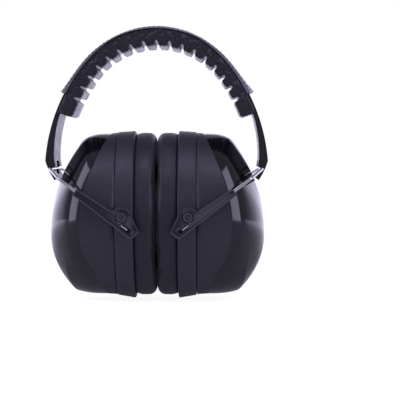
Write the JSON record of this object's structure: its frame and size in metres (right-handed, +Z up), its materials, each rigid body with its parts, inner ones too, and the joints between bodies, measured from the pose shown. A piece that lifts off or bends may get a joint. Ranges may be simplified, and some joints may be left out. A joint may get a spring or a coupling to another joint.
{
  "type": "hearing protection earmuffs",
  "caption": "Over-the-head hearing protection earmuffs: padded spring headband, wire yokes with sliding arms, and deep oval cups with soft ear cushions.",
  "frame": {"origin": "on the ground, midway between the two closed cups, under the middle of the headband", "axes": "+Z up through the crown of the headband, +X towards the right-hand cup, +Y to the rear"},
  "size_m": [0.1444, 0.0978, 0.18],
  "materials": {
    "strap_plastic": "satin",
    "cover_leather": "satin",
    "band_cushion": "satin",
    "wire_steel": "polished",
    "arm_plastic": "satin",
    "pin_plastic": "satin",
    "washer_steel": "satin",
    "shell_plastic": "gloss",
    "ring_plastic": "matte",
    "plate_plastic": "matte",
    "ear_cushion_leather": "satin",
    "liner_cloth": "matte",
    "acoustic_foam": "matte"
  },
  "bodies": {
    "headband": {"headband_strap": "strap_plastic", "headband_cover": "cover_leather", "headband_cushion": "band_cushion"},
    "right_yoke": {"right_yoke_wire": "wire_steel"},
    "right_arms": {"right_front_arm": "arm_plastic", "right_rear_arm": "arm_plastic"},
    "right_cup": {"right_cup_shell": "shell_plastic", "right_cup_ring": "ring_plastic", "right_cushion_plate": "plate_plastic", "right_ear_cushion": "ear_cushion_leather", "right_foam_liner": "liner_cloth", "right_acoustic_foam": "acoustic_foam", "right_pivot_pins": "pin_plastic", "right_pin_washers": "washer_steel"},
    "left_yoke": {"left_yoke_wire": "wire_steel"},
    "left_arms": {"left_front_arm": "arm_plastic", "left_rear_arm": "arm_plastic"},
    "left_cup": {"left_cup_shell": "shell_plastic", "left_cup_ring": "ring_plastic", "left_cushion_plate": "plate_plastic", "left_ear_cushion": "ear_cushion_leather", "left_foam_liner": "liner_cloth", "left_acoustic_foam": "acoustic_foam", "left_pivot_pins": "pin_plastic", "left_pin_washers": "washer_steel"}
  },
  "joints": [
    {"name": "right_yoke_swing", "type": "hinge", "parent": "headband", "child": "right_yoke", "pos_m": [0.068, 0, 0.0858], "axis": [0, -1, 0], "range_deg": [0, 35]},
    {"name": "right_arm_slide", "type": "slide", "parent": "right_yoke", "child": "right_arms", "axis": [-0.7986, 0, -0.6018], "range_m": [0, 0.025]},
    {"name": "right_cup_turn", "type": "hinge", "parent": "right_arms", "child": "right_cup", "pos_m": [0.0209, 0, 0.0556], "axis": [0, 1, 0], "range_deg": [0, 35]},
    {"name": "left_yoke_swing", "type": "hinge", "parent": "headband", "child": "left_yoke", "pos_m": [-0.068, 0, 0.0858], "axis": [0, 1, 0], "range_deg": [0, 35]},
    {"name": "left_arm_slide", "type": "slide", "parent": "left_yoke", "child": "left_arms", "axis": [0.7986, 0, -0.6018], "range_m": [0, 0.025]},
    {"name": "left_cup_turn", "type": "hinge", "parent": "left_arms", "child": "left_cup", "pos_m": [-0.0209, 0, 0.0556], "axis": [0, -1, 0], "range_deg": [0, 35]}
  ],
  "couplings": [
    {"joint": "right_yoke_swing", "follows": "right_arm_slide", "rad_per_m": 24},
    {"joint": "right_cup_turn", "follows": "right_arm_slide", "rad_per_m": 24},
    {"joint": "left_yoke_swing", "follows": "left_arm_slide", "rad_per_m": 24},
    {"joint": "left_cup_turn", "follows": "left_arm_slide", "rad_per_m": 24}
  ]
}
